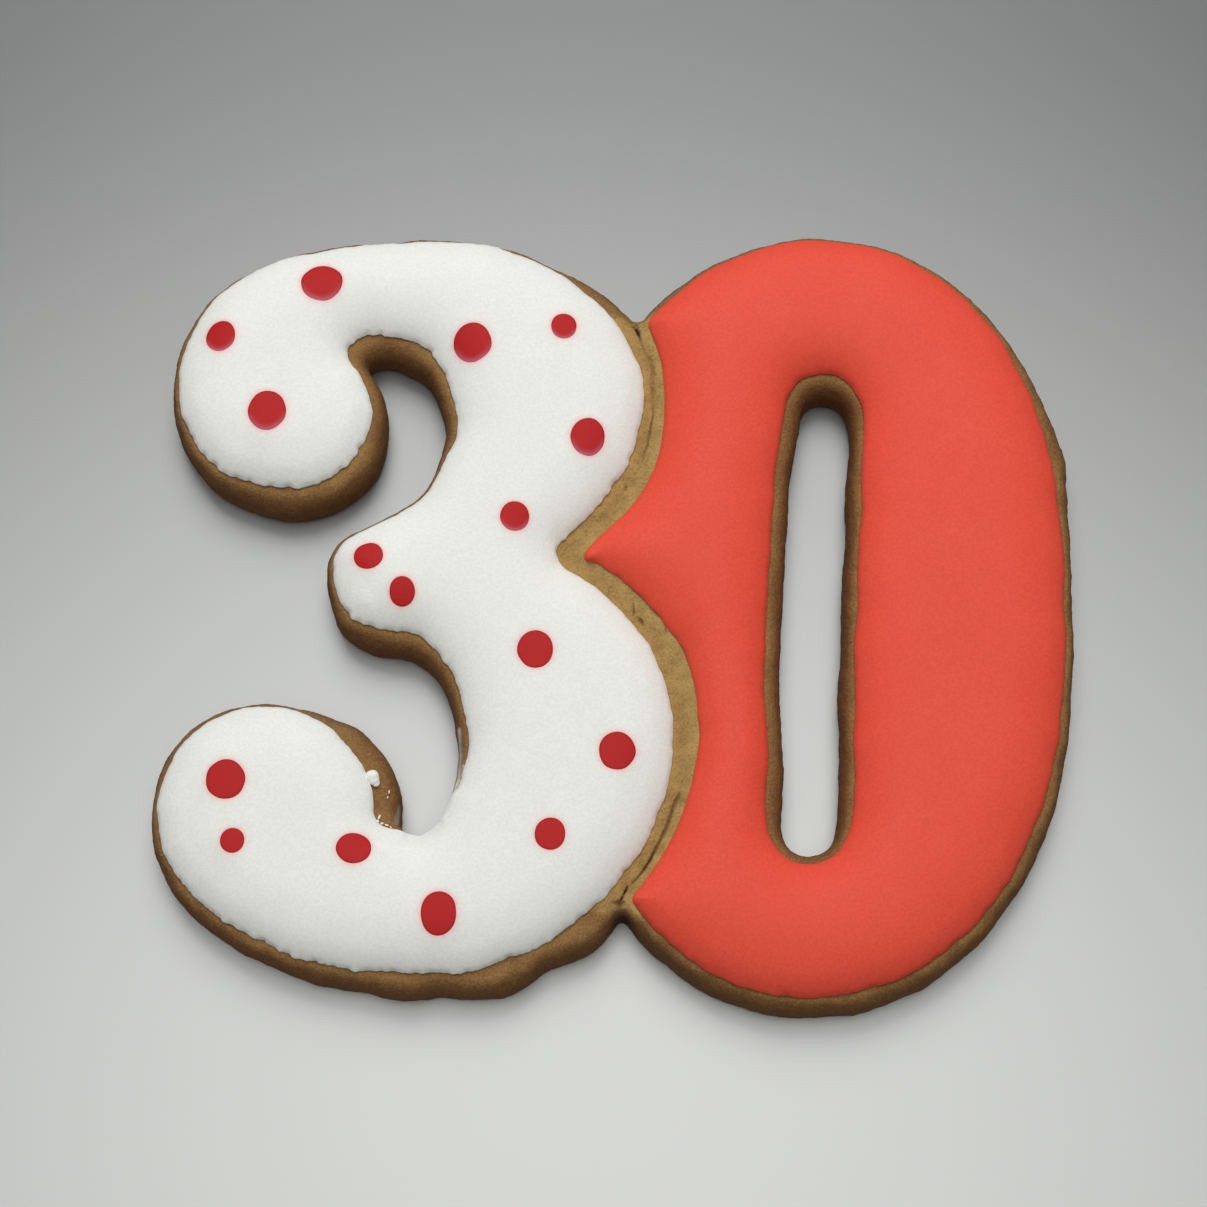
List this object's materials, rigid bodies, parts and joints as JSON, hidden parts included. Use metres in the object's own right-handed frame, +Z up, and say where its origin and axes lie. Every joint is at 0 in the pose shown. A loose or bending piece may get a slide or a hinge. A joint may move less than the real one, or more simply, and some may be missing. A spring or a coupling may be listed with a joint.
{
  "type": "decorated birthday cookie",
  "caption": "Flat rolled cookie cut as the numeral 30, with white icing and red dots on the 3 and coral icing on the 0.",
  "frame": {"origin": "on the underside, at the middle of the box round the cookie", "axes": "+X from the 3 to the 0, +Y up the digits, +Z up from the table through the icing"},
  "size_m": [0.1004, 0.0882, 0.009],
  "materials": {
    "baked_dough": "dry baked crumb, golden on top and browner on the sides",
    "white_icing": "dried smooth icing with a faint satin grain",
    "coral_icing": "dried smooth icing with a faint satin grain",
    "red_dots": "dried icing, flush in the white"
  },
  "bodies": {
    "root": {"cookie": "baked_dough", "white_icing": "white_icing", "coral_icing": "coral_icing"}
  },
  "joints": []
}
